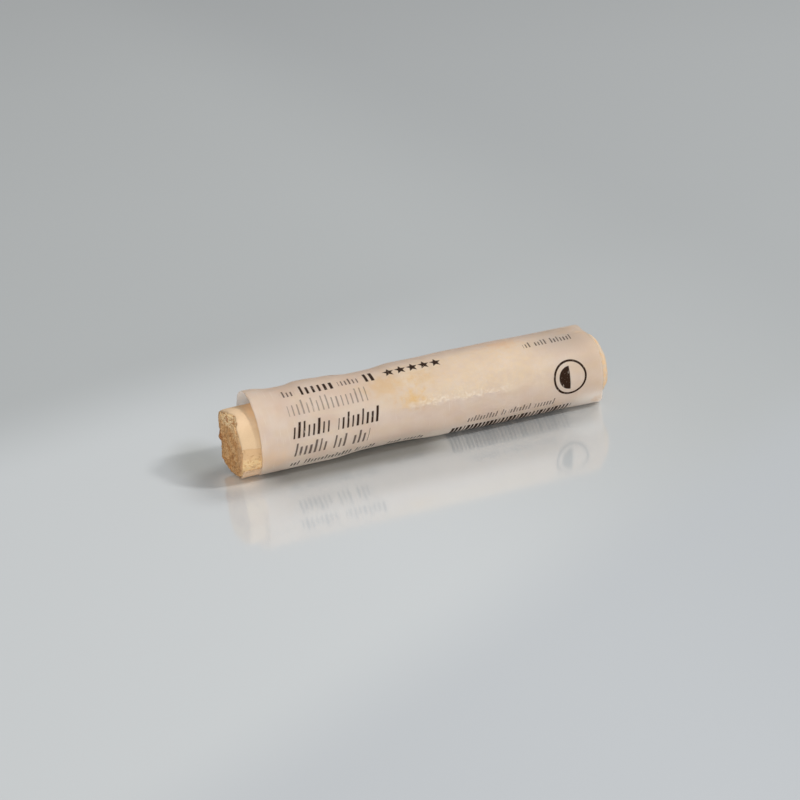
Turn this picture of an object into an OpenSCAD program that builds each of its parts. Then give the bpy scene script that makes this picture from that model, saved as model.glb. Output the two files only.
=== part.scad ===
// Soft pastel stick with one broken end, lying in the loose paper label that it was rolled in.
// The stick runs along X with its broken end at -X. The roll rests on a small flat spot at z = 0.
// Seen from the broken end, the front (-Y) is on the right and angles below are read from the bottom.

/* [Pastel stick] */
// Diameter of the stick
stick_d = 11; // [8:0.1:15]
// Length from the furthest point of the broken end to the worn end
stick_len = 62; // [48:0.1:80]
// Radius of the rubbed edge at the worn end
worn_edge_r = 1.1; // [0.2:0.1:2.5]
// How far one side of the worn end is rubbed down below the rest
rub_depth = 0.9; // [0:0.1:1.5]
// Slope of that side, in degrees
rub_slope = 20; // [15:1:30]
// Angle from the bottom to the middle of that side, up the front
rub_angle = 44; // [0:1:180]

/* [Broken end] */
// How far the upper half of the break leans out, in degrees; its lower half is upright
break_lean = 5.2; // [0:0.1:15]
// How far the back of the break turns out, in degrees
break_turn = 2.3; // [0:0.1:15]
// Depth of the largest chip at the broken rim, measured square to the chip
chip_depth = 0.7; // [0.2:0.05:1.2]
// Slope of the chips against the break, in degrees
chip_slope = 42; // [25:1:60]

/* [Paper roll] */
// Length of the paper along the stick
sheet_len = 56.8; // [45:0.1:70]
// Thickness of the paper
sheet_t = 0.08; // [0.06:0.01:0.2]
// How much wider the roll is inside than the stick
roll_slack = 1.58; // [1.2:0.01:3]
// How far the broken end sticks out of the roll
bare_len = 3.7; // [1:0.1:10]
// Angle from the bottom to the outer edge of the paper, up the back
outer_edge = 60; // [45:1:80]
// Angle from the bottom to the inner edge of the paper, up the front
inner_edge = 54; // [20:1:70]
// How far a corner of the inner turn sticks out under the broken end
tongue_len = 2.8; // [0.5:0.1:4]
// Angle from the bottom to the end of that corner, up the back
tongue_back = 20; // [5:1:40]
// How far a corner of the outer turn sticks out under the worn end
corner_len = 1.2; // [0.2:0.1:2]
// Angle from the bottom to the end of that corner, up the front
corner_front = 45; // [20:1:60]

/* [Resting shape] */
// How far forward the stick lies, as a share of the way to the front of the roll
forward_share = 1; // [0:0.05:1]
// Width of the flat spot that the roll rests on
flat_w = 1.8; // [1:0.1:3]
// How much lower the sagged roll is than it is wide
sag = 0.15; // [0.1:0.01:0.6]
// Gap between one turn of the paper and the next
turn_gap = 0.05; // [0.02:0.01:0.15]
// Gap between the stick and the paper that it lies on
seat_gap = 0.05; // [0.02:0.01:0.2]

/* [Hidden] */
$fn = 96;

// Chips round the broken rim: angle from the bottom towards the back, and share of the chip depth
CHIPS = [[-154, 1], [-120, 0.25], [-18, 0.3]];
CUTTER = 60;

stick_r = stick_d / 2;
layer_step = sheet_t + turn_gap;
stick_axis_z = layer_step + sheet_t + seat_gap + stick_r;

// Both pieces are measured from the furthest point of the broken end, then centred together
overall_len = max(stick_len, bare_len + sheet_len);
x_start = -overall_len / 2;
x_mouth = x_start + bare_len;
break_rise = [tan(break_turn) / cos(break_lean), tan(break_lean)];
x_break = x_start + stick_r * norm(break_rise);

// The sagged roll is a flat, two tighter corner arcs and one wide arc, all tangent to each other
roll_r = (stick_d + roll_slack) / 2 + sheet_t;
roll_mid_z = roll_r - sag;
half_flat = flat_w / 2;
arc_offset = (half_flat * half_flat + sag * sag) / (2 * sag);
corner_r = roll_r - arc_offset;
corner_span = asin(half_flat / arc_offset);

// The stick lies on the flat and rolls forward until it meets the front of the roll
room = roll_r - layer_step - sheet_t - seat_gap - stick_r;
drop = roll_mid_z - stick_axis_z;
stick_axis_y = -forward_share * sqrt(max(0, room * room - drop * drop));

// The outer turn steps inwards over this angle, just before it goes under its own outer edge
STEP_ANGLE = 30;
DEGREES_PER_POINT = 5;
edge_points = ceil(outer_edge / DEGREES_PER_POINT);
turn_points = 360 / DEGREES_PER_POINT;
inner_points = ceil(inner_edge / DEGREES_PER_POINT);
tongue_points = ceil(tongue_back / DEGREES_PER_POINT);
corner_points = ceil(corner_front / DEGREES_PER_POINT);

// Eases from 0 to 1 as t goes from 0 to 1
function ease(t) = (1 - cos(180 * t)) / 2;

// How far the paper has moved inwards after turning this far from its outer edge:
// it steps in just before it goes under the outer edge, and then stays inside
function inset(turned) =
    turned < 360 - STEP_ANGLE ? 0
    : turned < 360 ? layer_step * ease((turned - 360 + STEP_ANGLE) / STEP_ANGLE)
    : layer_step;

// A point of the roll's section: dir is the way the paper faces there,
// side is -1 in front of the flat and 1 behind it, depth is how far it lies inside the outline
function on_roll(dir, side, depth) =
    sin(dir) < -cos(corner_span)
    ? [side * half_flat, corner_r] + (corner_r - depth) * [cos(dir), sin(dir)]
    : [0, roll_mid_z] + (roll_r - depth) * [cos(dir), sin(dir)];

// Stations along the paper, each [dir, side, turned]: from the outer edge down to the bottom,
// once round by the front, the top and the back, and on to the inner edge
function edge_stations() =
    [for (i = [0 : edge_points]) let (a = outer_edge * (1 - i / edge_points)) [a - 90, 1, outer_edge - a]];
function turn_stations() =
    [for (i = [0 : turn_points]) let (a = 360 * i / turn_points) [-90 - a, a < 180 ? -1 : 1, outer_edge + a]];
function inner_stations() =
    [for (i = [0 : inner_points]) let (a = inner_edge * i / inner_points) [-90 - a, -1, outer_edge + 360 + a]];
function tongue_stations() =
    [for (i = [0 : tongue_points])
        let (a = tongue_back * (1 - i / tongue_points)) [a - 90, 1, outer_edge + 360 - a]];
function corner_stations() = concat(
    [for (i = [0 : tongue_points]) let (a = tongue_back * (1 - i / tongue_points)) [a - 90, 1, outer_edge - a]],
    [for (i = [0 : corner_points]) let (a = corner_front * i / corner_points) [-90 - a, -1, outer_edge + a]]);

// Closed outline of the paper between its outer and its inner face along the stations
function paper_outline(stations) = concat(
    [for (s = stations) on_roll(s[0], s[1], inset(s[2]))],
    [for (i = [len(stations) - 1 : -1 : 0])
        let (s = stations[i]) on_roll(s[0], s[1], inset(s[2]) + sheet_t)]);

// A section drawn in Y and Z, made length long along X from x
module along_x(x, length) {
    translate([x, 0, 0])
        rotate([90, 0, 90])
            linear_extrude(height = length)
                children();
}

// Where the broken rim lies along X at an angle from the bottom towards the back
function rim_x(angle) = x_break - stick_r * (break_rise * [sin(angle), max(0, -cos(angle))]);

// Half section of the stick: radius along x, length along y, with the rubbed edge at the far end
module bar_profile() {
    square([stick_r, stick_len - worn_edge_r]);
    square([stick_r - worn_edge_r, stick_len]);
    translate([stick_r - worn_edge_r, stick_len - worn_edge_r])
        circle(r = worn_edge_r);
}

// Everything on the -X side of a plane that leans out at the top by this angle
module leaning_cutter(lean) {
    translate([x_break, 0, 0])
        rotate([0, -lean, 0])
            rotate([0, 0, break_turn])
                translate([-CUTTER, -CUTTER / 2, -CUTTER / 2])
                    cube(CUTTER);
}

// Everything on the -X side of the broken face
module break_cutter() {
    intersection() {
        leaning_cutter(break_lean);
        leaning_cutter(0);
    }
}

// The side of the worn end that is rubbed down
module rub_cutter() {
    rotate([-rub_angle, 0, 0])
        translate([x_start + stick_len - rub_depth, 0, -stick_r])
            rotate([0, rub_slope, 0])
                translate([0, -CUTTER / 2, -CUTTER / 2])
                    cube(CUTTER);
}

// One chip: a slope that takes the corner off the broken rim at this angle
module chip_cutter(angle, share) {
    rotate([angle, 0, 0])
        translate([rim_x(angle), 0, -stick_r])
            rotate([0, -chip_slope, 0])
                translate([-CUTTER + share * chip_depth, -CUTTER / 2, -CUTTER / 2])
                    cube(CUTTER);
}

module pastel_stick() {
    color([0.91, 0.79, 0.62])
        translate([0, stick_axis_y, stick_axis_z])
            difference() {
                translate([x_start, 0, 0])
                    rotate([0, 90, 0])
                        rotate_extrude()
                            bar_profile();
                break_cutter();
                rub_cutter();
                for (chip = CHIPS)
                    chip_cutter(chip[0], chip[1]);
            }
}

module paper_wrapper() {
    whole = concat(edge_stations(), turn_stations(), inner_stations());
    tongue = concat(tongue_stations(), inner_stations());
    color([0.86, 0.79, 0.72])
        union() {
            along_x(x_mouth, sheet_len)
                polygon(paper_outline(whole));
            along_x(x_mouth - tongue_len, tongue_len + sheet_len / 4)
                polygon(paper_outline(tongue));
            along_x(x_mouth + sheet_len * 3 / 4, sheet_len / 4 + corner_len)
                polygon(paper_outline(corner_stations()));
        }
}

pastel_stick();
paper_wrapper();
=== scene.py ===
# %% [markdown]
# # A soft pastel stick in its paper label
#
# The object is two things. The first is a stick of soft pastel, which is chalk and pigment pressed
# into a round bar. One end has snapped off and crumbles, and the other is rubbed. The second is the
# label: one thin sheet of translucent paper, rolled loosely about one and a third turns round the stick.
#
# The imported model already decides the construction, so this file only gives both pieces their true
# surface. It reads every place and size that it can from that fixed frame, and works in millimetres
# that are turned into metres when a vertex is placed.

# %% Load the frame
import bpy
import math
from collections import namedtuple
from mathutils import Matrix, Vector, noise


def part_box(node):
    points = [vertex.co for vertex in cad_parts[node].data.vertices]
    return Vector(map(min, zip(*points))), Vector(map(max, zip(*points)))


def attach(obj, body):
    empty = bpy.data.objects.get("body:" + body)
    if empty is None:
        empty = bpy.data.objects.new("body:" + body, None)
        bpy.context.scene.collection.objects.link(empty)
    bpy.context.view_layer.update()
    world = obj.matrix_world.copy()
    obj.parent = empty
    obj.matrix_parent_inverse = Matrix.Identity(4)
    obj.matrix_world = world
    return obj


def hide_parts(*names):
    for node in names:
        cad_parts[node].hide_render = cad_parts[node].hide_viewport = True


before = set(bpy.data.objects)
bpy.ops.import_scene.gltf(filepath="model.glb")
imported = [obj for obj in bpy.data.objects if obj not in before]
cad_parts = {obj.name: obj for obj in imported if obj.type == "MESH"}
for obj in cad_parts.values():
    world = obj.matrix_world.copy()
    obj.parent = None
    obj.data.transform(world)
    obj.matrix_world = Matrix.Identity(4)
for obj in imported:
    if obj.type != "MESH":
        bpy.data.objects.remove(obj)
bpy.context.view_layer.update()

MM = 0.001
stick_low, stick_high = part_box("pastel_stick")
roll_low, roll_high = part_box("paper_wrapper")
print("stick box in mm:", [round(v / MM, 2) for v in (*stick_low, *stick_high)])
print("roll box in mm:", [round(v / MM, 2) for v in (*roll_low, *roll_high)])

# %% [markdown]
# ## The camera
#
# The camera looks down a little from the front and from the broken end's side, with a long lens, so
# both edges of the roll are nearly parallel and the broken face is seen at a sharp slant. A constraint
# could aim it, but a matrix built from three directions also carries the small roll of the hand.

# %% Place the camera
CAMERA_AZIMUTH = math.radians(-20.05)
CAMERA_ELEVATION = math.radians(22.4)
CAMERA_ROLL = math.radians(-4.1)
CAMERA_DISTANCE = 271.8
CAMERA_LENS = 78.3
CAMERA_CLIP = (0.01, 10)
LOOK_AT = Vector((-2.4, 0.83, 6.20))


def add_camera():
    """A camera that looks at LOOK_AT from its azimuth, elevation and distance, turned by its roll."""
    across, up = math.cos(CAMERA_ELEVATION), math.sin(CAMERA_ELEVATION)
    back = Vector((math.sin(CAMERA_AZIMUTH) * across, -math.cos(CAMERA_AZIMUTH) * across, up))
    right = (-back).cross(Vector((0, 0, 1))).normalized()
    level = Matrix((right, back.cross(right), back)).transposed()
    bpy.ops.object.camera_add(location=(LOOK_AT + back * CAMERA_DISTANCE) * MM)
    camera = bpy.context.object
    turned = level @ Matrix.Rotation(CAMERA_ROLL, 3, "Z")
    camera.matrix_world = Matrix.Translation(camera.location) @ turned.to_4x4()
    camera.data.lens = CAMERA_LENS
    camera.data.clip_start, camera.data.clip_end = CAMERA_CLIP
    bpy.context.scene.camera = camera
    return camera


camera = add_camera()
bpy.context.scene.view_settings.view_transform = "Standard"
print("camera at", [round(v / MM, 1) for v in camera.location], "mm")

# %% [markdown]
# ## Writing a material as sums
#
# Every finish below is worked out from masks: where the chalk is broken, where the paper is stained,
# where ink is printed. Masks are sums of noises and distances, and a sum reads best as a sum. So one
# small class wraps an output socket, lets Python's own operators add the Math nodes, and eases a number
# into a mask. One method adds any other node from its settings and the values of its sockets.

# %% A socket that can be added and multiplied
class Wire:
    """One output of a node. Arithmetic on it adds a Math node to the same finish."""

    def __init__(self, finish, socket):
        self.finish = finish
        self.socket = socket

    def math(self, operation, *values):
        return self.finish.node("Math", {"operation": operation}, values)

    def __add__(self, other):
        return self.math("ADD", self, other)

    __radd__ = __add__

    def __sub__(self, other):
        return self.math("SUBTRACT", self, other)

    def __rsub__(self, other):
        return self.math("SUBTRACT", other, self)

    def __mul__(self, other):
        return self.math("MULTIPLY", self, other)

    __rmul__ = __mul__

    def __truediv__(self, other):
        return self.math("DIVIDE", self, other)

    def __rtruediv__(self, other):
        return self.math("DIVIDE", other, self)

    def __mod__(self, other):
        return self.math("FLOORED_MODULO", self, other)

    def __abs__(self):
        return self.math("ABSOLUTE", self)

    def __lt__(self, other):
        return self.math("LESS_THAN", self, other)

    def __gt__(self, other):
        return self.math("GREATER_THAN", self, other)

    def hypot(self, other):
        """The length of a step of this much one way and the other much square to it."""
        return self.math("SQRT", self * self + other * other)

    def eased(self, start, end):
        """0 below start and 1 above end, with a smooth step between them."""
        return self.finish.node("MapRange", {"interpolation_type": "SMOOTHSTEP"}, (self, start, end))

    def within(self, low, high, soft):
        """1 between low and high, easing to 0 over soft outside them."""
        return self.eased(low - soft, low) * (1 - self.eased(high, high + soft))


print("a wire adds Math nodes for + - * / % < > and abs")


# %% A finish that nodes are added to
def tint(code):
    """The shader colour of a colour that is written as it looks, such as D8C4AC, by the sRGB curve."""
    shares = [int(code[i:i + 2], 16) / 255 for i in (0, 2, 4)]
    return tuple(s / 12.92 if s <= 0.04045 else ((s + 0.055) / 1.055) ** 2.4 for s in shares) + (1.0,)


class Finish:
    """A material while it is written. node() adds any node and returns its output as a Wire."""

    def __init__(self, name):
        self.material = bpy.data.materials.new(name)
        self.material.use_nodes = True
        self.tree = self.material.node_tree
        self.tree.nodes.clear()
        self.where = self.place()

    def node(self, kind, settings=None, values=(), out=0):
        made = self.tree.nodes.new("ShaderNode" + kind)
        for name, setting in (settings or {}).items():
            setattr(made, name, setting)
        for key, value in values.items() if isinstance(values, dict) else enumerate(values):
            if isinstance(value, Wire):
                self.tree.links.new(value.socket, made.inputs[key])
            else:
                made.inputs[key].default_value = value
        return Wire(self, made.outputs[out] if made.outputs else None)

    def place(self):
        """Where a point lies on the finish's pattern, in metres: here its Object coordinates."""
        return self.node("TexCoord", out=3)

    def part(self, axis):
        """One coordinate of the finish's place, in millimetres."""
        return self.node("SeparateXYZ", None, (self.where,), axis) / MM

    def blend(self, share, first, second):
        """The first colour where share is 0 and the second where it is 1."""
        return self.node("Mix", {"data_type": "RGBA"}, {0: share, 6: first, 7: second}, out=2)

    def coats(self, colour, *layers):
        """The colour with coats laid over it in turn, each a share of how thick it is and its colour."""
        for share, code in layers:
            colour = self.blend(share, colour, tint(code))
        return colour

    def cloud(self, size, detail=2.0, rough=0.5, where=None):
        """Noise from 0 to 1 with lumps of about size millimetres, here or at another place."""
        return self.node("TexNoise", None, {
            "Vector": where or self.where, "Scale": 1 / (size * MM),
            "Detail": detail, "Roughness": rough})

    def surface(self, colour, roughness, height=None, depth=0.0, ior=1.5, alpha=1.0):
        """The Principled shader with a bump of depth millimetres."""
        values = {"Base Color": colour, "Roughness": roughness, "IOR": ior, "Alpha": alpha}
        if height is not None:
            bump = {"Height": height, "Distance": depth * MM, "Strength": 1.0}
            values["Normal"] = self.node("Bump", None, bump)
        return self.node("BsdfPrincipled", None, values)

    def finish(self, shader):
        self.node("OutputMaterial", None, {"Surface": shader})
        return self.material


print("white is", tint("FFFFFF"), "and mid grey is", [round(v, 3) for v in tint("808080")])

# %% [markdown]
# ## The pastel stick
#
# A pastel is a damp mass pressed through a round die and dried, so its side is plain and smooth with a
# dusty skin, and everything of interest is at its ends. The bar starts as a cylinder at its true size.
# One bisect gives the slanted break. Sculpting would give the crumble by hand; here dense rings and a
# grid are cut at that end first, and noise then moves their vertices, so each run crumbles the same way.

# %% Select in edit mode by place
def choose(thing):
    """Selects only this object, and makes it the one that operators act on."""
    bpy.ops.object.select_all(action="DESELECT")
    bpy.context.view_layer.objects.active = thing
    thing.select_set(True)


def edit(thing, kind="VERT"):
    """Opens this one object in edit mode, with all of its vertices, edges or faces selected."""
    choose(thing)
    bpy.ops.object.mode_set(mode="EDIT")
    bpy.ops.mesh.select_mode(type=kind)
    bpy.ops.mesh.select_all(action="SELECT")


def pick_faces(thing, test):
    """Selects only the faces whose polygon passes test, and leaves the object in edit mode."""
    edit(thing, "FACE")
    bpy.ops.mesh.select_all(action="DESELECT")
    bpy.ops.object.mode_set(mode="OBJECT")
    for face in thing.data.polygons:
        face.select = test(face)
    bpy.ops.object.mode_set(mode="EDIT")


def close_edit(thing):
    """Back to object mode; prints how large the mesh has become."""
    bpy.ops.object.mode_set(mode="OBJECT")
    print(thing.name, "has", len(thing.data.polygons), "faces")


def is_end(face, facing):
    """Whether this is the many-cornered face that closes the end facing this way along X."""
    return face.normal.x * facing > 0.9 and len(face.vertices) > 4


# %% The bar, broken on a slant
stick_radius = (stick_high.y - stick_low.y) / 2 / MM
axis_y = (stick_high.y + stick_low.y) / 2 / MM
axis_z = (stick_high.z + stick_low.z) / 2 / MM
start_x, end_x = stick_low.x / MM, stick_high.x / MM
SIDES = 360
# How far the break leans out for each millimetre towards the back and towards the top
BREAK_SLOPE = Vector((0.0403, 0.0910))
WORN_RADIUS = 1.1
break_x = start_x + stick_radius * BREAK_SLOPE.length


def break_place(y, z):
    """Where the flat of the break lies along X, in millimetres."""
    return break_x - BREAK_SLOPE.x * (y - axis_y) - BREAK_SLOPE.y * (z - axis_z)


def add_bar():
    length = end_x - start_x
    bpy.ops.object.select_all(action="DESELECT")
    bpy.ops.mesh.primitive_cylinder_add(
        vertices=SIDES, radius=stick_radius * MM, depth=length * MM, end_fill_type="NGON",
        rotation=(0, math.pi / 2, 0), location=((start_x + length / 2) * MM, axis_y * MM, axis_z * MM))
    bar = bpy.context.object
    bar.name = "pastel_bar"
    bpy.ops.object.transform_apply(location=True, rotation=True, scale=True)
    edit(bar)
    bpy.ops.mesh.bisect(
        plane_co=(break_x * MM, axis_y * MM, axis_z * MM), plane_no=(1, *BREAK_SLOPE),
        use_fill=True, clear_inner=True)
    close_edit(bar)
    return bar


bar = add_bar()

# %% [markdown]
# The break and the skin next to it need vertices about a tenth of a millimetre apart. The flat face is
# filled again as a grid, because rings crowd at the middle, and the side gets parallel cuts that lie
# close together near the two ends, where they are seen, and far apart inside the paper.

# %% Rings and grids where detail goes
RING_STEP = 0.14
DENSE_LENGTH = 5.2
HIDDEN_START, HIDDEN_RINGS = start_x + 7, 31
HIDDEN_STEP = (end_x - 5 - HIDDEN_START) / (HIDDEN_RINGS - 1)
WORN_STEP, WORN_RINGS = 0.2, 17
WORN_SEGMENTS = 12


def cut_rings(thing, first, step, count, normal):
    """Cuts count rings through the side, a step apart along X from the first, square to normal."""
    edit(thing)
    for i in range(count):
        bpy.ops.mesh.select_all(action="SELECT")
        place = Vector((first + step * i, axis_y, axis_z)) * MM
        bpy.ops.mesh.bisect(plane_co=place, plane_no=normal)
    close_edit(thing)


def fill_end(thing, facing):
    """Replaces the flat end that faces this way along X by a grid of small squares."""
    pick_faces(thing, lambda face: is_end(face, facing))
    bpy.ops.mesh.delete(type="ONLY_FACE")
    bpy.ops.mesh.select_mode(type="EDGE")
    bpy.ops.mesh.select_all(action="DESELECT")
    bpy.ops.mesh.select_non_manifold()
    bpy.ops.mesh.fill_grid(span=SIDES // 4, use_interp_simple=True)
    close_edit(thing)


def round_worn_end(thing):
    """Bevels the edge of the worn end, with its segments about as long as the rings are apart."""
    pick_faces(thing, lambda face: is_end(face, 1))
    bpy.ops.mesh.region_to_loop()
    bpy.ops.mesh.bevel(offset=WORN_RADIUS * MM, segments=WORN_SEGMENTS, affect="EDGES")
    close_edit(thing)


slanted, upright = (1, *BREAK_SLOPE), (1, 0, 0)
dense_rings = round(DENSE_LENGTH / RING_STEP) - 1
cut_rings(bar, break_x + RING_STEP, RING_STEP, dense_rings, slanted)
cut_rings(bar, HIDDEN_START, HIDDEN_STEP, HIDDEN_RINGS, upright)
cut_rings(bar, end_x - WORN_RADIUS - WORN_STEP, -WORN_STEP, WORN_RINGS, upright)
round_worn_end(bar)
fill_end(bar, 1)
fill_end(bar, -1)

# %% [markdown]
# Chalk breaks in three sizes: chips that take the corner off the rim, a lumpy face, and crumbs of a few
# tenths of a millimetre. Each is a small function of a point, so the vertices of the face, the rim and
# the side all move by the same rule and the surface stays closed. Masks kept as attributes tell the
# finish where the chalk is broken, where loose grains lie and where the skin has flaked off.

# %% Chips round the rim
CHIP_SLOPE = math.radians(42)
CHIP_DEPTH = 0.7
# Each chip's place round the rim in degrees from the back over the top, and its share of the depth
CHIPS = ((116, 1.0), (150, 0.25), (252, 0.3))


def lumps(point, size, seed):
    """Smooth noise from about -1 to 1, with lumps of this size in millimetres."""
    return noise.noise(point / size + Vector((seed, 2.3 * seed, -1.7 * seed)))


def crumbs(point, size, seed):
    """Noise like packed grains: 1 in the middle of a grain and about 0 between grains."""
    nearest = noise.voronoi(point / size + Vector((seed, -seed, 1.3 * seed)))[0][0]
    return max(0.0, 1 - 1.6 * nearest)


def layered(pattern, place, layers):
    """Several sizes of one noise together. Each layer is its size, its height and its seed."""
    return sum(height * pattern(place, size, seed) for size, height, seed in layers)


def chipped(point):
    """The point moved onto the chips that cut it off, and how deep the deepest of them cut."""
    deepest = 0.0
    for angle, share in CHIPS:
        y, z = math.cos(math.radians(angle)), math.sin(math.radians(angle))
        rim_y, rim_z = axis_y + stick_radius * y, axis_z + stick_radius * z
        rim = Vector((break_place(rim_y, rim_z), rim_y, rim_z))
        facing = Vector((-math.cos(CHIP_SLOPE), math.sin(CHIP_SLOPE) * y, math.sin(CHIP_SLOPE) * z))
        depth = share * CHIP_DEPTH * (1 + 0.35 * lumps(point, 1.3, angle))
        over = facing.dot(point - rim) + depth
        if over > 0:
            point = point - facing * over
            deepest = max(deepest, over)
    return point, deepest


print("the chips cut", [round(share * CHIP_DEPTH, 2) for _, share in CHIPS], "mm deep")


# %% How the break swells, wears and flakes
CLOT_Y, CLOT_Z = 4.3, -0.4
# Each swelling: its middle to the back of the axis and above it, the square of how far it spreads, and
# how far it stands out. The last is a crumb that hangs on at the back.
SWELLINGS = ((3.5, -4.2, 5, 0.35), (-4.6, -2.2, 5, 0.15), (CLOT_Y, CLOT_Z, 0.5, 0.55))
# Where the skin has flaked off: from and to these angles round the stick, and this far from the rim
FLAKED_FROM, FLAKED_TO = 172, 262
FLAKED_LENGTH = 4.6


def eased(share):
    """A smooth step from 0 to 1 as share goes from 0 to 1."""
    share = min(1.0, max(0.0, share))
    return share * share * (3 - 2 * share)


def bump_at(value, middle, width):
    """1 at the middle, falling smoothly to about 0 two widths away."""
    return math.exp(-(((value - middle) / width) ** 2))


def relief(y, z):
    """How far the break stands out beyond its slant, as its lower half is upright and it swells."""
    y, z = y - axis_y, z - axis_z
    out = BREAK_SLOPE.y * max(0.0, -z)
    for back, up, spread, height in SWELLINGS:
        out += height * math.exp(-((y - back) ** 2 + (z - up) ** 2) / spread)
    return out


def worn_down(angle, behind):
    """How far fingers have rubbed the top of the bare end, and the shoulder next to the break."""
    top = 0.35 * bump_at(angle, 72, 40) * (1 - eased((behind - 4) / 5))
    return top + 0.42 * bump_at(angle, 92, 30) * math.exp(-max(0.0, behind) / 0.9)


def flaked(angle, behind, point):
    """How far the skin has flaked off the lower front beside the rim, from 0 to 1."""
    edge = FLAKED_FROM + 0.8 * behind + 1.5 * lumps(point, 1.2, 4)
    start = min(1, max(0, (angle - edge) / 1.6))
    reach = min(1, max(0, (FLAKED_LENGTH + 1.2 * lumps(point, 2.2, 9) - behind) / 0.5))
    return start * reach if angle < FLAKED_TO else 0


print("the clot stands out by", round(relief(axis_y + CLOT_Y, axis_z + CLOT_Z), 2), "mm")


# %% Crumble the broken end
MASKS = ("broken", "loose", "flaked")
# The layers of grains and of hills on the break: each one's size and height in millimetres, and its seed
GRAINS = (0.75, 0.16, 1), (0.36, 0.10, 5)
HILLS = (2.4, 0.22, 3), (1.1, 0.16, 6)


def round_stick(point):
    """Which way a point lies from the axis, in degrees from the back over the top, and how far out."""
    y, z = point.y - axis_y, point.z - axis_z
    return math.degrees(math.atan2(z, y)) % 360, math.hypot(y, z)


def crumbled(point, facing):
    """The place of a vertex after the break, and its masks: how broken, loose and flaked it is."""
    behind = point.x - break_place(point.y, point.z)
    if behind > 2 * DENSE_LENGTH:
        return point, (0.0, 0.0, 0.0)
    on_face = behind < 0.02
    angle, radius = round_stick(point)
    rim = stick_radius - radius if on_face else behind
    moved, cut = chipped(point)
    skin_loss = 0.0 if on_face else flaked(angle, behind, point)
    low = eased((angle - 183) / 16) * (1 - eased((behind - 3.2) / 1.2))
    fresh = 1.0 if on_face else min(1, cut / 0.12)
    loose = fresh * bump_at(angle, 90, 54) * eased((3.0 - rim) / 1.1)
    loose = max(loose, skin_loss * low)
    wear = 0.14 * (1 + lumps(point, 1.1, 2)) * math.exp(-((rim / 0.26) ** 2))
    hills = layered(lumps, point, HILLS) if on_face else 0
    depth = wear + fresh * (0.12 - layered(crumbs, point, GRAINS)) + hills
    depth += loose * (1 - 0.6 * skin_loss) * (0.08 - 0.16 * crumbs(point, 0.5, 7)) + 0.05 * skin_loss
    moved = moved - facing * depth
    inwards = worn_down(angle, behind) / stick_radius
    moved.y -= inwards * (point.y - axis_y)
    moved.z -= inwards * (point.z - axis_z)
    moved.x -= relief(point.y, point.z) * (1 - eased(behind / (1.5 * DENSE_LENGTH)))
    return moved, (fresh if cut < 0.05 or on_face else 0.7 * fresh, loose, skin_loss)


def reshape(thing, rule):
    """Moves each vertex to rule(place in millimetres, facing). The facings are read before any moves."""
    facings = [vertex.normal.copy() for vertex in thing.data.vertices]
    for vertex, facing in zip(thing.data.vertices, facings):
        vertex.co = rule(vertex.co / MM, facing) * MM
    thing.data.update()


def keep_masks(thing):
    """Keeps each vertex's masks as attributes, worked out where it lay before the break."""
    values = [crumbled(vertex.co / MM, vertex.normal)[1] for vertex in thing.data.vertices]
    for name, column in zip(MASKS, zip(*values)):
        mask = thing.data.attributes.new(name, "FLOAT", "POINT")
        mask.data.foreach_set("value", column)


keep_masks(bar)
reshape(bar, lambda point, facing: crumbled(point, facing)[0])
print("kept masks:", [name for name in bar.data.attributes.keys() if name in MASKS])

# %% [markdown]
# The far end has been drawn with, so it is uneven, and its lower front is rubbed down on a slope. Further
# in, fingers have pinched the roll and pressed a shallow hollow into the soft chalk. Both are small rules
# that move a vertex, as the break's are.

# %% Rub the worn end and press the pinched place
STROKE_LAYERS = (3.2, 0.16, 12), (0.9, 0.09, 13)
RUBBED_AT, RUBBED_WIDTH = 226, 26
RUB_DEPTH = 0.9
PINCH_X = -6.7
PINCHED_AT, PINCH_WIDTH, PINCH_HALF_LENGTH = 240, 34, 8
PINCH_DEPTH = 0.42


def rubbed(point, facing):
    """The place of a vertex of the worn end, made uneven by strokes at changing angles."""
    near = min(1, max(0, (point.x - end_x + 4) / 3))
    shift = layered(lumps, point, STROKE_LAYERS) - 0.1
    angle, radius = round_stick(point)
    slope = RUB_DEPTH * bump_at(angle, RUBBED_AT, RUBBED_WIDTH) * (radius / stick_radius) ** 3
    return point + facing * shift * near - Vector((slope * near, 0, 0))


def pressed(point, facing):
    """The place of a vertex inside the label, hollowed a little where the roll is pinched."""
    share = bump_at(round_stick(point)[0], PINCHED_AT, PINCH_WIDTH)
    share *= math.exp(-((point.x - PINCH_X) / PINCH_HALF_LENGTH) ** 4)
    return point - facing * PINCH_DEPTH * share


reshape(bar, rubbed)
reshape(bar, pressed)
bpy.ops.object.shade_smooth()
print("bar is now", [round(v / MM, 2) for v in bar.dimensions], "mm")

# %% [markdown]
# ## The chalk's finish
#
# The skin is a pale, even cream, with a warm painted shade by the paper's mouth. Where it has broken, the
# chalk is deeper and more ochre, partly as painted shade, because each grain shades the next, with
# painted shade in its pits and a few reddish specks of badly ground pigment. Loose grains are pale on
# top, with painted shade dark between them, and fine cracks run through the flaked skin. Chalk has no
# gloss at all.
# The colour is mixed from the kept masks and noises of the grain's own size.

# %% The chalk
CLOT_RADIUS = 1.3
WARP_SCALE = 900.0


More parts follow.
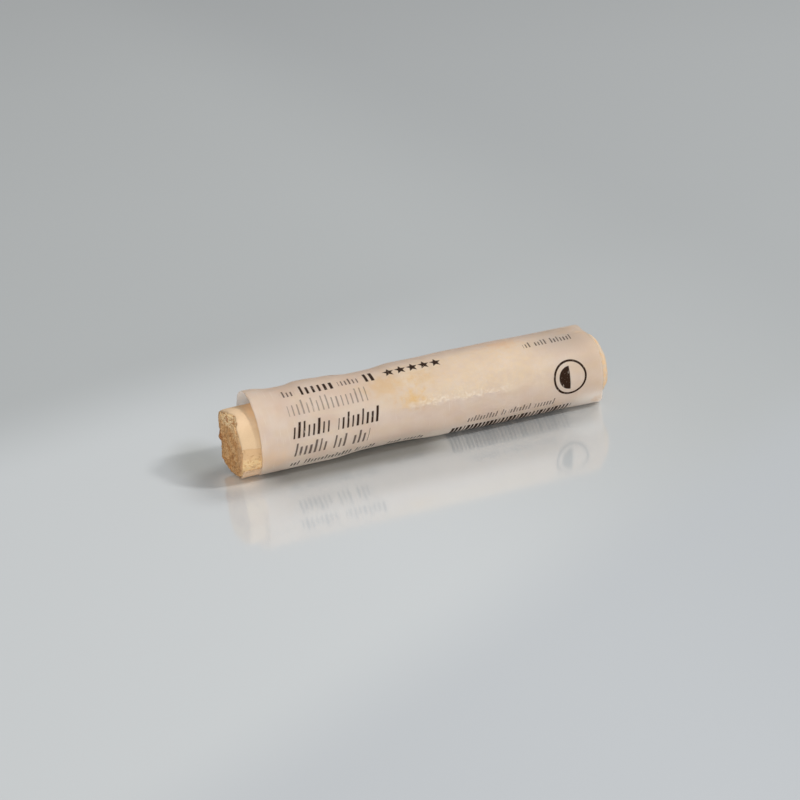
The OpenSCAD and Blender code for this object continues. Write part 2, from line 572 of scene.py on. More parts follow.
class Chalk(Finish):
    """The chalk's finish: its place, its kept masks, and the noises and cracks that colours share."""

    def __init__(self, name):
        super().__init__(name)
        self.x, self.back, self.up = self.part(0), self.part(1) - axis_y, self.part(2) - axis_z
        self.broken, self.loose, self.flaked = (
            self.node("Attribute", {"attribute_name": mask}, out=2) for mask in MASKS)
        self.patches = self.cloud(2.2, 3)
        self.grain = self.cloud(0.28, 3, 0.6)
        self.fine = self.cloud(0.09, 2, 0.6)
        crack = self.cells(self.warped(2.0), 1.7, "DISTANCE_TO_EDGE").eased(0.05, 0.01)
        self.crack = crack * self.flaked * self.cloud(0.8, 1).eased(0.44, 0.56)
        self.apart = self.cells(self.warped(0.25), 0.26)
        self.gaps = (self.cloud(0.6, 2, 0.6) + 0.25 * self.apart).eased(0.65, 0.74)

    def cells(self, vector, size, feature="F1"):
        """Distances in a pattern of cells of this size in millimetres."""
        return self.node("TexVoronoi", {"feature": feature}, {"Vector": vector, "Scale": 1 / (size * MM)})

    def warped(self, reach):
        """The place, pushed about by noise of up to reach millimetres, so that lines run unevenly."""
        values = {"Vector": self.where, "Scale": WARP_SCALE, "Detail": 1.0}
        three_noises = self.node("TexNoise", None, values, out=1)
        push = self.node("VectorMath", {"operation": "SCALE"}, {0: three_noises, "Scale": reach * MM})
        return self.node("VectorMath", {"operation": "ADD"}, {0: self.where, 1: push})


print("the clot is", 2 * CLOT_RADIUS, "mm across")


# %% Its skin, its core and its loose grains
def chalk_skin(chalk):
    """The pale skin: darker in front, warm painted shade by the paper's mouth, flaked, stained at the
    worn end.
    """
    front = chalk.up.within(0.4, 2.4, 2.0)
    # Painted shade: the skin in the shadow of the paper's rim, warm as if lit through the paper
    shaded = chalk.up.eased(4.2, 5.2) * chalk.x.eased(start_x + 2.2, start_x + 3.4)
    worn = (end_x - chalk.x).eased(3.0, 1.0)
    stained = worn * chalk.cloud(1.1, 3).eased(0.46, 0.62)
    line = chalk.flaked.within(0.15, 0.7, 0.1)
    return chalk.coats(
        tint("E4C49F"), (chalk.patches.eased(0.35, 0.7), "DEBC96"), (front * 0.8, "D0B28D"),
        (shaded * 0.8, "F8CC9C"), (chalk.fine.eased(0.56, 0.72) * 0.35, "EFD6B4"),
        (chalk.flaked * 0.6, "CBA274"), (worn * 0.7, "C4B4A2"), (stained * 0.5, "DBB07A"),
        (line * 0.25 + chalk.crack * 0.6, "B48656"))


def chalk_core(chalk):
    """The broken chalk: ochre grains, painted shade in its pits, reddish specks, a smoother front edge
    and one dark clot.
    """
    broad = chalk.cloud(1.2, 2)
    # Painted shade: dark spots stand for the shade in small pits of the break
    pit_shade = chalk.cloud(0.40, 2, 0.5).eased(0.42, 0.34)
    specks = chalk.cloud(0.5, 1, 0.4).eased(0.68, 0.73)
    smooth = chalk.back.eased(-2.6, -3.8) * chalk.up.eased(2.4, 1.0)
    from_clot = (chalk.back - CLOT_Y).hypot(chalk.up - CLOT_Z)
    clot = (from_clot + 2.2 * chalk.grain - 1.1).eased(CLOT_RADIUS, 0.4 * CLOT_RADIUS)
    return chalk.coats(
        tint("C48D54"), (chalk.grain.eased(0.36, 0.66), "E8B983"),
        (broad.eased(0.50, 0.66) * 0.6, "DCB482"), (broad.eased(0.46, 0.34) * 0.45, "A8703C"),
        (pit_shade * 0.65, "8A5428"), (specks * 0.8, "8E4A26"), (smooth * 0.7, "E0B080"),
        (clot * 0.6, "94562A"))


def loose_grains(chalk):
    """Grains that lie loose on the chalk: pale on top, deeper where the skin has flaked, painted shade
    between.
    """
    yellow = chalk.patches.eased(0.48, 0.58) * chalk.flaked
    # The last coat, in the gaps, is painted shade between the grains
    return chalk.coats(
        tint("FFE4B6"), (chalk.apart.eased(0.35, 0.75), "FACC92"), (yellow * 0.5, "EACB94"),
        (chalk.flaked * 0.6, "D8B483"), (chalk.gaps * (0.7 - 0.4 * chalk.flaked), "9E5628"))


def chalk_finish():
    chalk = Chalk("pressed_chalk")
    colour = chalk.blend(chalk.broken, chalk_skin(chalk), chalk_core(chalk))
    colour = chalk.blend(chalk.loose * 0.95, colour, loose_grains(chalk))
    height = chalk.grain * (0.2 + chalk.broken) + chalk.fine * 0.35
    height = height - (chalk.apart + chalk.gaps) * chalk.loose * 0.3 - chalk.crack * 0.5
    return chalk.finish(chalk.surface(colour, 0.92, height, 0.09, ior=1.35))


bar.data.materials.clear()
bar.data.materials.append(chalk_finish())
print("chalk is written with", len(bar.data.materials[0].node_tree.nodes), "nodes")

# %% [markdown]
# ## The label's shape
#
# The label is a rectangle of thin paper, so it is modelled flat first, as a grid that lies on the plate
# with its print side up. Flat is the time to tear its edges and to lay its UV map in true proportion.
# Then one formula rolls it: each vertex walks along the outline of the roll, from the outer edge low on
# the back, under the stick, up the front, over the top and round again inside. A cloth simulation could
# settle it, but the roll keeps its shape because paper is stiff, and the outline is already known.

# %% The roll's outline
SHEET_LENGTH = 56.8
TONGUE_LENGTH = 2.8
CORNER_LENGTH = 1.2
SHEET_THICKNESS = 0.08
LAYER_STEP = 0.13
HALF_FLAT = 0.9
OUTER_EDGE = math.radians(60)
INNER_EDGE = math.radians(54)
STEP_ANGLE = math.radians(30)
DOWN = math.radians(-90)

roll_radius = (roll_high.y - roll_low.y) / 2 / MM
sag = 2 * roll_radius - roll_high.z / MM
middle_z = roll_radius - sag
mouth_x = roll_low.x / MM + TONGUE_LENGTH
arc_offset = (HALF_FLAT ** 2 + sag ** 2) / (2 * sag)
corner_radius = roll_radius - arc_offset
corner_span = math.asin(HALF_FLAT / arc_offset)
print("roll radius", round(roll_radius, 2), "corner radius", round(corner_radius, 2))


def outline_stretches():
    """The outline from the outer edge on: each arc's centre and radius, its first facing and turn."""
    round_turn = (0, middle_z, roll_radius)
    back_corner = (HALF_FLAT, corner_radius, corner_radius)
    front_corner = (-HALF_FLAT, corner_radius, corner_radius)
    facing = DOWN + OUTER_EDGE
    for turns, corner in (
            (OUTER_EDGE - corner_span, round_turn), (corner_span, back_corner), (0, None),
            (corner_span, front_corner), (2 * math.pi - 2 * corner_span, round_turn),
            (corner_span, back_corner), (0, None), (corner_span, front_corner),
            (INNER_EDGE - corner_span, round_turn)):
        yield corner, facing, turns
        facing -= turns


STRETCHES = [(corner, facing, turn, corner[2] * turn if corner else 2 * HALF_FLAT)
             for corner, facing, turn in outline_stretches()]
SHEET_WIDTH = sum(length for *_, length in STRETCHES)


def outline(walk):
    """Where a walk of this length along the outline leads: y, z and the way the paper faces."""
    for corner, facing, _, length in STRETCHES[:-1]:
        if walk <= length:
            break
        walk -= length
    else:
        corner, facing = STRETCHES[-1][:2]
    if corner is None:
        return HALF_FLAT - walk, 0.0, facing
    y, z, radius = corner
    facing -= walk / radius
    return y + radius * math.cos(facing), z + radius * math.sin(facing), facing


print("the flat sheet is", round(SHEET_LENGTH, 1), "by", round(SHEET_WIDTH, 1), "mm")

# %% [markdown]
# The inner turn has to pass inside the outer one, so the paper steps inwards by a little more than its
# own thickness, just before it meets its outer edge. Handling has also pushed the roll about: it is
# pinched at one place low on the front and swells a little on each side.

# %% How far the paper stands in or out
def turned_at(facing):
    """How far the paper has turned since its outer edge, in radians."""
    return DOWN + OUTER_EDGE - facing


def inset_at(facing):
    """How far the paper lies inside the outline, so that its turns pass each other."""
    turned = turned_at(facing)
    return LAYER_STEP * eased((turned - 2 * math.pi + STEP_ANGLE) / STEP_ANGLE)


# Each place where handling has moved the paper: millimetres along the sheet and degrees round the roll
# from the back over the top, its half length and half width in the same units, and how far it stands out
DENTS = (
    (20.6, 242, 6.8, 30, -0.42),
    (43.0, 238, 9.0, 24, 0.14),
    (57.0, 242, 5.0, 28, 0.22),
    (0.0, 68, 2.6, 40, 0.36),
    (5.5, 70, 2.0, 30, -0.16),
    (9.4, 72, 2.0, 32, 0.15),
    (18.6, 70, 4.0, 34, -0.36),
    (37.3, 72, 6.0, 30, 0.10),
)


def pushed_at(along, facing):
    """How far handling has pushed the paper out, at a place along the stick and round the roll."""
    angle = math.degrees(facing) % 360
    out = 0.05 * noise.noise(Vector((along / 5, 2 * math.cos(facing), 2 * math.sin(facing))))
    for centre, middle, length, width, height in DENTS:
        apart = (angle - middle + 180) % 360 - 180
        out += height * math.exp(-((along - centre) / length) ** 4 - (apart / width) ** 2)
    return out


def rolled(along, walk):
    """Where a point of the flat sheet lies once the sheet is rolled, in millimetres."""
    y, z, facing = outline(walk)
    inset = inset_at(facing)
    out = pushed_at(along, facing) - inset
    y += out * math.cos(facing)
    z += out * math.sin(facing)
    return Vector((mouth_x + along, y, max(z, inset)))


print("the pinch pushes the paper", round(pushed_at(20.6, math.radians(242)), 2), "mm")


# %% The flat sheet with its torn edges
ALONG_STEPS = 224
ROUND_STEPS = 196
TONGUE_START = math.radians(20)
LEFT_TEARS = (1.7, 0.09, 5), (0.6, 0.05, 9)
RIGHT_TEARS = (1.3, 0.15, 21), (0.5, 0.09, 31)
# Each nick in the right edge: its middle across the wrap, its width and its depth, in millimetres
NICKS = ((25.3, 0.9, 0.25), (26.6, 3.4, 0.8))


def add_sheet():
    """The flat sheet as a grid: x along the stick from the mouth, y across the wrap."""
    bpy.ops.object.select_all(action="DESELECT")
    bpy.ops.mesh.primitive_grid_add(
        x_subdivisions=ALONG_STEPS, y_subdivisions=ROUND_STEPS, size=1,
        location=(SHEET_LENGTH / 2 * MM, SHEET_WIDTH / 2 * MM, 0))
    sheet = bpy.context.object
    sheet.name = "paper_label"
    sheet.scale = (SHEET_LENGTH * MM, SHEET_WIDTH * MM, 1)
    bpy.ops.object.transform_apply(location=True, rotation=True, scale=True)
    return sheet


def wobble(walk, size, seed):
    """Noise along an edge, from about -1 to 1, with waves of this size in millimetres."""
    return noise.noise(Vector((walk / size, seed, 0)))


def torn(along, walk):
    """Where a point of the clean rectangle lies once the edges are worn and the corners stand out."""
    turned = turned_at(outline(walk)[2])
    tongue = TONGUE_LENGTH * eased((turned - 2 * math.pi - OUTER_EDGE + TONGUE_START) / 0.7)
    left = (tongue + layered(wobble, walk, LEFT_TEARS)) * (1 - eased(along / 6))
    nick = sum(depth * bump_at(walk, middle, width) for middle, width, depth in NICKS)
    ragged = layered(wobble, walk, RIGHT_TEARS)
    corner = CORNER_LENGTH * min(1, max(0, (14.5 - walk) / 5.2)) ** 1.3 * eased((walk - 3) / 3)
    right = (nick + abs(ragged) - corner) * eased((along - SHEET_LENGTH + 5) / 5)
    return along - left - right


sheet = add_sheet()
uv_map = sheet.data.uv_layers.active
uv_map.name = "sheet"
for vertex in sheet.data.vertices:
    vertex.co.x = torn(vertex.co.x / MM, vertex.co.y / MM) * MM
for loop in sheet.data.loops:
    flat = sheet.data.vertices[loop.vertex_index].co / MM
    uv_map.data[loop.index].uv = (flat.x / SHEET_LENGTH, flat.y / SHEET_LENGTH)
print("flat sheet:", [round(v / MM, 2) for v in sheet.dimensions], "mm")

# %% Roll it up and give it its thickness
for vertex in sheet.data.vertices:
    vertex.co = rolled(vertex.co.x / MM, vertex.co.y / MM) * MM
sheet.data.update()
bpy.ops.object.shade_smooth()
thickness = sheet.modifiers.new("thickness", "SOLIDIFY")
thickness.thickness = SHEET_THICKNESS * MM
thickness.offset = -1
thickness.material_offset = 1
thickness.material_offset_rim = 0
print("rolled sheet:", [round(v / MM, 2) for v in sheet.dimensions], "mm")

# %% [markdown]
# ## The label's finish
#
# The paper is thin enough to let light through, so its finish is a mix of a plain surface and a
# translucent one. Chalk dust on its inner side shows through as a warm, cloudy field over the upper
# front, with a grainy lower edge, and there are a few ochre stains. All of it is laid out on the sheet's
# own map in millimetres, so it follows the paper round the roll.

# %% Places on the sheet
# Which stretch of the outline goes up the front, over the top and down the back
ROUND = 4


def walk_to(angle):
    """How far across the wrap the paper faces this way, in degrees from the back over the top."""
    before = sum(length for *_, length in STRETCHES[:ROUND])
    return before + roll_radius * (STRETCHES[ROUND][1] + 2 * math.pi - math.radians(angle))


class Label(Finish):
    """The label's finish: along and walk are millimetres on the flat sheet."""

    def __init__(self, name):
        super().__init__(name)
        self.along, self.walk = self.part(0), self.part(1)

    def place(self):
        """The sheet's own map, in metres."""
        values = {0: self.node("UVMap", {"uv_map": "sheet"}), "Scale": SHEET_LENGTH * MM}
        return self.node("VectorMath", {"operation": "SCALE"}, values)

    def streaks(self, along_size, walk_size, detail=2.0):
        """Noise with lumps this many millimetres long along the stick and across the wrap."""
        values = {0: self.where, 1: (1 / along_size, 1 / walk_size, 1)}
        return self.cloud(1.0, detail, 0.5, self.node("VectorMath", {"operation": "MULTIPLY"}, values))

    def away(self, along, walk, stretch=1.0):
        """Millimetres from a place on the sheet, with distances along the stick divided by stretch."""
        return ((self.along - along) / stretch).hypot(self.walk - walk)

    def spot(self, along, walk, radius, stretch=1.0):
        """1 in the middle of a stain, easing to a ragged edge at its radius in millimetres."""
        ragged = self.away(along, walk, stretch) + 3.6 * self.cloud(1.0, 4) - 1.8
        return ragged.eased(radius, 0.0)


print("the middle of the front is", round(walk_to(180), 1), "mm across the wrap")

# %% [markdown]
# ## The print
#
# A label of this kind carries two rows of small marks, three names, a ring and a strip of bars. Words
# would need a font and would name a maker, so each word is a row of upright strokes of uneven width,
# which has the grey of a printed word and says nothing. The star, the ring and the bars are plain shapes
# drawn by distance. Ink is a mask from 0 to 1, worked out on the sheet's own map.

# %% Rows of strokes
INK_EDGE = 0.06
# A low stroke's height as a share of a tall one's, and the share of strokes that are tall
LOW_STROKE, TALL_SHARE = 0.72, 0.35
# A row of strokes: its foot across the wrap, the strokes' height and pitch, half their width as a share
# of the pitch, where each word starts and ends, how black the ink is, and how far the strokes lean
Row = namedtuple("Row", "foot height pitch weight words ink lean", defaults=(0.0,))
ROWS = (
    Row(walk_to(107) - 0.8, 1.5, 0.62, 0.19, ((4.8, 7.0), (14.0, 17.3)), 0.9),
    Row(walk_to(107) - 1.0, 2.1, 0.95, 0.24, ((8.0, 13.2), (18.0, 20.0)), 1.0),
    Row(walk_to(134) - 1.2, 2.4, 0.78, 0.15, ((5.1, 17.9),), 0.68),
    Row(walk_to(165) - 1.2, 2.4, 0.78, 0.22, ((5.0, 10.9), (12.1, 18.5)), 1.0, 0.22),
    Row(walk_to(193) - 1.2, 2.3, 0.78, 0.21, ((5.0, 9.9), (11.2, 13.0), (13.9, 16.7)), 0.9, 0.22),
    Row(walk_to(222) - 0.6, 1.3, 0.55, 0.26,
        ((4.6, 5.8), (6.6, 14.2), (14.9, 15.6), (16.2, 18.0)), 0.9, 0.2),
    Row(walk_to(228) - 0.6, 1.3, 0.55, 0.24, ((20.5, 22.6), (23.3, 26.3)), 1.0, 0.2),
    Row(walk_to(110) - 0.6, 1.2, 0.55, 0.20, ((44.9, 46.3), (46.9, 48.9), (49.6, 53.1)), 0.9),
    Row(walk_to(207) - 0.5, 1.2, 0.52, 0.21,
        ((33.3, 38.3), (38.9, 39.8), (40.4, 44.0), (44.6, 48.4)), 0.85, 0.2),
)


def drawn(label, number, seed):
    """A random share from 0 to 1 for each whole number, which another seed draws anew."""
    return label.node("TexWhiteNoise", {"noise_dimensions": "1D"}, {"W": number + seed})


def strokes(label, across, pitch, edge, thin, spread, seed):
    """One stroke in each pitch, at least twice thin pitches wide, and the number of each stroke."""
    step = across / pitch
    number = step.math("FLOOR", step)
    half = pitch * (thin + spread * drawn(label, number, seed))
    off = abs(step - number - 0.5) * pitch
    return off.eased(half + edge, half - edge), number


def row_ink(label, row, seed):
    """The ink of one row: upright strokes whose width and height change from one to the next."""
    up = label.walk - row.foot
    across = label.along - row.lean * up
    thin, spread = 0.75 * row.weight, 0.5 * row.weight
    stroke, number = strokes(label, across + seed * row.pitch, row.pitch, INK_EDGE, thin, spread, 0)
    top = row.height * (LOW_STROKE + (1 - LOW_STROKE) * (drawn(label, number, 0.5) < TALL_SHARE))
    stroke = stroke * up.eased(-INK_EDGE, INK_EDGE) * up.eased(top + INK_EDGE, top - INK_EDGE)
    words = sum(across.within(start, end, INK_EDGE) for start, end in row.words)
    return stroke * words * row.ink


print(len(ROWS), "rows with", sum(len(row.words) for row in ROWS), "words of strokes")

# %% Stars, ring and bars
STAR_RADIUS, STAR_WAIST = 0.98, 0.44
STAR_COUNT = 5
STARS_START, STARS_END = 21.4, 31.1
STARS_MIDDLE = walk_to(106)
RING_PLACE = (51.0, walk_to(172.6))
RING_RADIUS, RING_LINE, DISC_RADIUS = 2.85, 0.3, 1.9
# Where the strip of bars starts and ends along the sheet, and its foot and head across the wrap
BARS = (30.9, 51.7, walk_to(220.5) - 7.0, walk_to(220.5))
BAR_PITCH, BAR_EDGE = 0.66, 0.04


def star_ink(label):
    """Stars in a row: each is folded into one of its five spikes, whose side is a straight line."""
    pitch = (STARS_END - STARS_START) / STAR_COUNT
    step = (label.along - STARS_START) % pitch
    x, y = step - pitch / 2, label.walk - STARS_MIDDLE
    length = x.hypot(y)
    spike = math.radians(72)
    turn = x.math("ARCTAN2", x, y) + 2 * math.pi + spike / 2
    fold = abs(turn % spike - spike / 2)
    waist_x, waist_y = STAR_WAIST * math.cos(spike / 2), STAR_WAIST * math.sin(spike / 2)
    side = Vector((waist_y, STAR_RADIUS - waist_x)).normalized()
    over = (length * fold.math("COSINE", fold) - STAR_RADIUS) * side.x
    over = over + length * fold.math("SINE", fold) * side.y
    row = label.along.within(STARS_START, STARS_END, INK_EDGE)
    return over.eased(INK_EDGE, -INK_EDGE) * row


def ring_ink(label):
    """A plain even ring round a half-filled disc, the usual sign for a pigment that half covers."""
    from_middle = label.away(*RING_PLACE)
    ring = from_middle.within(RING_RADIUS - RING_LINE, RING_RADIUS, INK_EDGE)
    disc = from_middle.eased(DISC_RADIUS + INK_EDGE, DISC_RADIUS - INK_EDGE)
    half = disc * (label.along - RING_PLACE[0]).eased(INK_EDGE, -INK_EDGE)
    return ring + half


def bar_ink(label):
    """A strip of upright bars of uneven width, with now and then a wider gap."""
    bar, number = strokes(label, label.along, BAR_PITCH, BAR_EDGE, 0.15, 0.28, 0.25)
    left_out = drawn(label, number, 0.75) > 0.9
    start, end, foot, head = BARS
    strip = label.along.within(start, end, BAR_EDGE / 2) * label.walk.within(foot, head, BAR_EDGE)
    return bar * (1 - left_out) * strip


print("a star is", 2 * STAR_RADIUS, "mm and the ring", 2 * RING_RADIUS, "mm across")

# %% All of the ink
ROW_SEED = 17


def printed(label):
    """All of the ink, worn away along creases and in small flecks."""
    ink = star_ink(label) + ring_ink(label) + bar_ink(label)
    for number, row in enumerate(ROWS):
        ink = ink + row_ink(label, row, ROW_SEED * number)
    rubbed = label.streaks(0.35, 2.2)
    flecks = label.cloud(0.16, 2)
    kept = rubbed.eased(0.72, 0.64) * flecks.eased(0.76, 0.66)
    return ink * (0.3 + 0.7 * kept)


print("the rows' seeds:", [ROW_SEED * number for number in range(len(ROWS))])

# %% [markdown]
# The colour is painted in coats, the real ones in the order in which they came: the mottled paper, the
# dust behind it with a grainy lower edge and a frost of pale chalk, painted shade and painted light in
# the roll and at its mouth, and the ochre stains. Each also says how much it covers, because a covered
# place passes less light.

# %% The dust behind the paper
# Which ways the paper faces, in degrees, where the dust begins low on the front and thins out on top
DUST_LOW, DUST_HIGH = 167, 104


def plain_paper(label):
    """The paper itself, warm white with paler and yellower clouds."""
    clouds = label.cloud(3.5, 3)
    yellowed = label.streaks(3.0, 1.6, 3).eased(0.45, 0.65)
    coats = (clouds.eased(0.3, 0.7), "EEE0D4"), (0.4 * yellowed, "E6D6BE")
    return label.coats(tint("E0CDC1"), *coats), clouds


def dusty_paper(label, mottle, grain):
    """The paper with the chalk dust over its upper front, greyer below it, partly as painted shade, the
    scratches below, and their cover.
    """
    along, walk = label.along, label.walk
    colour, clouds = plain_paper(label)
    lower_edge = walk_to(DUST_LOW) - 0.04 * (along - 27.3) + 3.0 * (mottle - 0.5) + 1.5 * (grain - 0.5)
    soft = 0.15 + 1.5 * along.eased(35, 48)
    field = walk.eased(lower_edge - soft, lower_edge + soft)
    field = field * walk.eased(walk_to(84), walk_to(DUST_HIGH)) * along.eased(16, 25)
    field = field * (1 - 0.85 * along.eased(43, 52))
    dust = field * (0.35 + 0.5 * mottle.eased(0.3, 0.7) + 0.9 * (grain - 0.5))
    frost = walk.within(lower_edge - 0.1, lower_edge + 0.8, 0.3) * along.within(26, 39, 3)
    frost = frost * label.cloud(0.4, 2, 0.6).eased(0.50, 0.58)
    # Greyer below the dust's edge: partly the paper's own tone, partly painted shade
    below = (1 - walk.eased(lower_edge - 0.4, lower_edge)) * along.eased(14, 24)
    scratches = label.streaks(0.22, 4.0).eased(0.60, 0.72)
    colour = label.coats(
        colour, (dust, "EAD3B2"), (0.4 * frost, "FFF6EA"), (0.35 * below * clouds, "CDB9B0"),
        (0.5 * scratches * (1 - field), "FFF9F2"))
    return colour, 0.45 * dust + 0.2 * frost


print("the dust is", round(walk_to(DUST_HIGH) - walk_to(DUST_LOW), 1), "mm across")

# %% Painted shade and light in the roll and at its mouth
# How far along the sheet the painted grey of the hollow begins, in millimetres
HOLLOW_START = 43


def shaded_paper(label, colour):
    """The colour with painted shade: grey on top, the grey of the hollow behind the paper, darker at the
    far mouth;
    and painted light low on the front and on the loose corner, with how much that light covers.
    """
    along, walk = label.along, label.walk
    # Painted shade: grey on top, where the paper stands off the chalk
    top = walk.eased(walk_to(104), walk_to(86))
    # Painted shade: the grey of the hollow behind the paper
    hollow = along.eased(HOLLOW_START, 54) * walk.eased(walk_to(146), walk_to(112))
    # Painted light: the glow low on the front
    low = walk.eased(walk_to(205), walk_to(235)) * along.within(6, 34, 4)
    # Painted shade: darker at the far mouth
    mouth = along.eased(51, 56.5) * walk.eased(walk_to(205), walk_to(185))
    # Painted light: the loose corner, lit from behind through the paper
    lit_loose_corner = along.eased(48, 56) * walk.eased(walk_to(196), walk_to(216))
    colour = label.coats(
        colour, (0.5 * top, "CFC2B8"), (0.85 * hollow, "A6A5A3"), (0.8 * low, "FFF4E6"),
        (0.4 * mouth, "C4A98C"), (0.8 * lit_loose_corner, "FFF6EC"))
    return colour, 0.3 * low + 0.4 * lit_loose_corner


print("the hollow's grey begins", HOLLOW_START, "mm along the sheet")

# %% The stains
# Each stain: its place along the sheet, the way the paper faces there in degrees, its radius, how much
# longer it is along the stick, and how strongly it shows
SMEARS = ((20.6, 129, 3.0, 1.8, 0.6), (27.0, 128, 2.2, 1.6, 0.4))
STREAKS = ((41.8, 95, 1.8, 2.4, 0.4), (56.4, 225, 1.6, 1.0, 0.4))
DARKEST = (24.8, 157, 2.3, 1.5, 1.0)
WARM = (1.6, 200, 3.2, 1.4, 0.5)


def stains(label, *places):
    """How strongly these stains show, all together."""
    return sum(strength * label.spot(along, walk_to(angle), radius, stretch)
               for along, angle, radius, stretch, strength in places)


def stained_paper(label, colour, mottle, edge):
    """The colour with its ochre stains, the warm edge past the mouth, partly painted light, the warm
    back, one dark crumb, and their cover.
    """
    smear, streak, darkest = stains(label, *SMEARS), stains(label, *STREAKS), stains(label, DARKEST)
    behind = label.walk.eased(29, 32) * label.cloud(9.0, 4).eased(0.48, 0.62)
    crumb = label.away(14.2, walk_to(77), 2.0).eased(0.38, 0.20)
    colour = label.coats(
        colour, (smear, "D9AE68"), (streak, "E2A868"), (darkest * (0.6 + 1.6 * (mottle - 0.5)), "D8AC66"),
        (stains(label, WARM) + 0.8 * edge, "F6D0A8"), (0.55 * behind, "EBD0A9"), (0.8 * crumb, "7C6654"))
    return colour, 0.3 * darkest + 0.2 * smear + 0.3 * streak


def paper_colour(label):
    """The paper's colour with all that shows through it, and how much that covers it."""
    mottle = label.cloud(0.9, 4, 0.65)
    grain = label.cloud(0.22, 3, 0.65)
    # The edge past the mouth is the tongue: its warm coat is its pinkish tone, lightened as painted light
    # on its shaded underside
    edge = label.along.eased(0.4, -0.4)
    colour, dust = dusty_paper(label, mottle, grain)
    colour, shade = shaded_paper(label, colour)
    colour, stain = stained_paper(label, colour, mottle, edge)
    return colour, dust + shade + stain + 0.6 * edge


print("the darkest stain faces", DARKEST[1], "degrees, at", DARKEST[0], "mm from the mouth")

# %% [markdown]
# Thin paper sends some light back, lets some through spread out, and where it stands free some comes
# straight through. So a plain surface is mixed with a translucent one, and its alpha falls there.

# %% Thin paper
PASSES = 0.58


def clear_paper(label):
    """How clear the paper is, from 0 to 1: where no chalk lies behind it, it is nearly see-through."""
    inner_edge = label.walk.eased(SHEET_WIDTH - 1.0, SHEET_WIDTH)
    tongue = label.along.eased(0.3, -0.3) * (0.20 + 0.7 * inner_edge)
    far_wall = label.along.eased(2.5, 1.0) * label.walk.within(28.6, 44.0, 0.8)
    corner = label.along.eased(46.0, 56.0) * label.walk.within(25.6, 30.0, 1.2)
    return tongue + 0.65 * far_wall + 0.7 * corner


def thin_paper(label, colour, height, depth, covered=0.0):
    """A plain surface mixed with a translucent one, which shows less where the paper is covered."""
    clear = clear_paper(label)
    front = label.surface(colour, 0.6, height, depth, ior=1.2, alpha=1 - 0.85 * clear)
    through = label.node("BsdfTranslucent", None, {"Color": tint("FAF6F2")})
    share = (PASSES - 0.3 * clear) * (1 - covered)
    return label.finish(label.node("MixShader", None, {0: share, 1: front, 2: through}))


def label_finish():
    label = Label("label_front")
    ink = printed(label)
    colour, cover = paper_colour(label)
    colour = label.coats(colour, (ink, "2A170A"))
    covered = label.along.math("MINIMUM", ink + cover, 1.0)
    fibres = label.cloud(0.22, 3, 0.6)
    creases = label.streaks(0.9, 14.0)
    return thin_paper(label, colour, fibres + creases * 6, 0.012, covered)


def inside_finish():
    label = Label("label_inside")
    dust = label.cloud(1.5, 3)
    colour = label.coats(tint("EFE8DF"), (dust.eased(0.35, 0.7), "F2DDBB"))
    return thin_paper(label, colour, dust, 0.02)


sheet.data.materials.append(label_finish())
sheet.data.materials.append(inside_finish())
choose(sheet)
bpy.ops.object.modifier_apply(modifier="thickness")
print(sheet.name, "has", len(sheet.data.polygons), "faces")
print("the label's finish has", len(sheet.data.materials[0].node_tree.nodes), "nodes")

# %% [markdown]
# ## Handing the pieces over
#
# Each piece says which body it rides on and which node of the imported model it stands in for, and that
# node is hidden, so the two descriptions of the object stay one.

# %% Hand the pieces over
for piece, node, slot in ((bar, "pastel_stick", "pastel"), (sheet, "paper_wrapper", "label_paper")):
    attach(piece, "root")
    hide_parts(node)
print("pieces:", bar.name, "and", sheet.name)

# %% [markdown]
# ## The plate and the light
#
# The stick lies on a pale, slightly glossy plate, which shows a soft ghost of it. A plane with a rough
# gloss does that with no second pane. The lamps stand on the worn end's side, so the broken face falls
# into shade: a small one to the front, for the shade of the paper's mouth on the stick, and a soft one
# behind. A wide one, low in front, lights the underside. The surround is dim and even, because the plate
# mirrors it, and a bright one would wash the ghost out.

# %% The plate
PLATE_SIDE = 4.0
# Each round patch of painted shadow and painted light beside the stick: its colour, its middle in
# millimetres, its stretch along x and y, and how far out it ends and is full. The first is a shadow left
# of the broken end, the second light on the plate next to the tongue.
PAINTED_SHADOW_AND_LIGHT = (
    ("B4B5B0", (-33.5, 7.0), (0.7, 1.4), 9.0, 2.0),
    ("F6F3EC", (-30.3, -2.3), (1.0, 1.0), 4.5, 1.5),
)


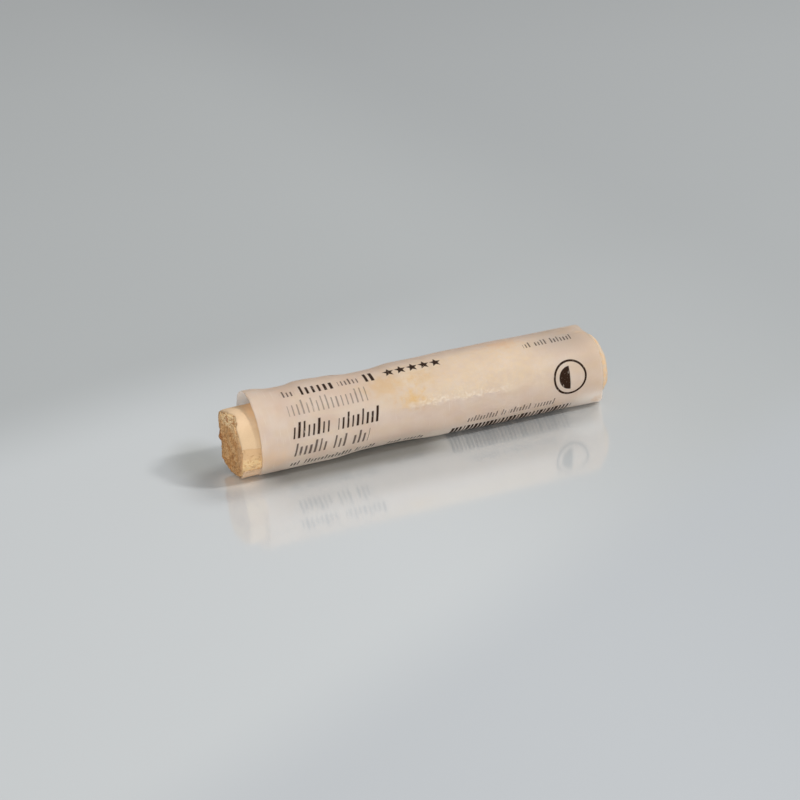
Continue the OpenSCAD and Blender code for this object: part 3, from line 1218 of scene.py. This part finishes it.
def plate_finish():
    """Pale and slightly glossy, with painted light: lighter to the front and left, darker to the back and
    right, and painted shadow and light close to the stick.
    """
    plate = Finish("pale_plate")
    x, y = plate.part(0), plate.part(1)
    # Painted light: lighter towards the front and left and darker to the right, as the light falls off;
    # bluer far back
    near = (y - 0.25 * x).eased(65, 30) * (1 - 0.9 * x.eased(-20, 50))
    # Painted shadow under the roll's front and ahead of it
    painted_shadow_under = x.within(-23, -2, 6) * y.within(-5.2, -1, 3.5)
    painted_shadow_ahead = x.within(-22, 16, 8) * y.within(-14, -4, 6)
    colour = plate.coats(
        tint("BDC0C0"), (near, "D8DBDC"), (0.6 * x.eased(30, 100), "A8ABAC"),
        (0.6 * (0.5 * x - y).eased(38, 62), "C3C7CC"), (0.6 * painted_shadow_under + 0.25 * painted_shadow_ahead, "848480"))
    for code, middle, stretch, outer, inner in PAINTED_SHADOW_AND_LIGHT:
        aside, beyond = ((v - m) / s for v, m, s in zip((x, y), middle, stretch))
        colour = plate.coats(colour, (0.8 * aside.hypot(beyond).eased(outer, inner), code))
    return plate.finish(plate.surface(colour, 0.1, ior=2.5))


bpy.ops.mesh.primitive_plane_add(size=PLATE_SIDE)
plate = bpy.context.object
plate.name = "plate"
plate.data.materials.append(plate_finish())
print("the plate is", PLATE_SIDE, "m wide")


# %% The lamps
SURROUND_LIGHT = 0.45


def add_lamp(name, place, width, height, power):
    """A rectangular lamp that looks at the stick's middle. Its place and sides are in metres."""
    bpy.ops.object.light_add(type="AREA", location=place)
    lamp = bpy.context.object
    lamp.name = name
    lamp.rotation_euler = (-Vector(place)).to_track_quat("-Z", "Y").to_euler()
    lamp.data.shape = "RECTANGLE"
    lamp.data.size = width
    lamp.data.size_y = height
    lamp.data.energy = power


add_lamp("key_lamp", (0.44, -0.32, 0.48), 0.08, 0.08, 2.0)
add_lamp("rear_lamp", (0.38, 0.20, 0.61), 0.3, 0.24, 1.7)
add_lamp("front_lamp", (-0.17, -0.60, 0.09), 0.6, 0.16, 2.15)

surround = bpy.data.worlds.new("pale_surround")
surround.use_nodes = True
light = surround.node_tree.nodes["Background"].inputs
light["Color"].default_value = tint("F0F2F3")
light["Strength"].default_value = SURROUND_LIGHT
bpy.context.scene.world = surround
print("lamps:", [o.name for o in bpy.context.scene.objects if o.type == "LIGHT"])
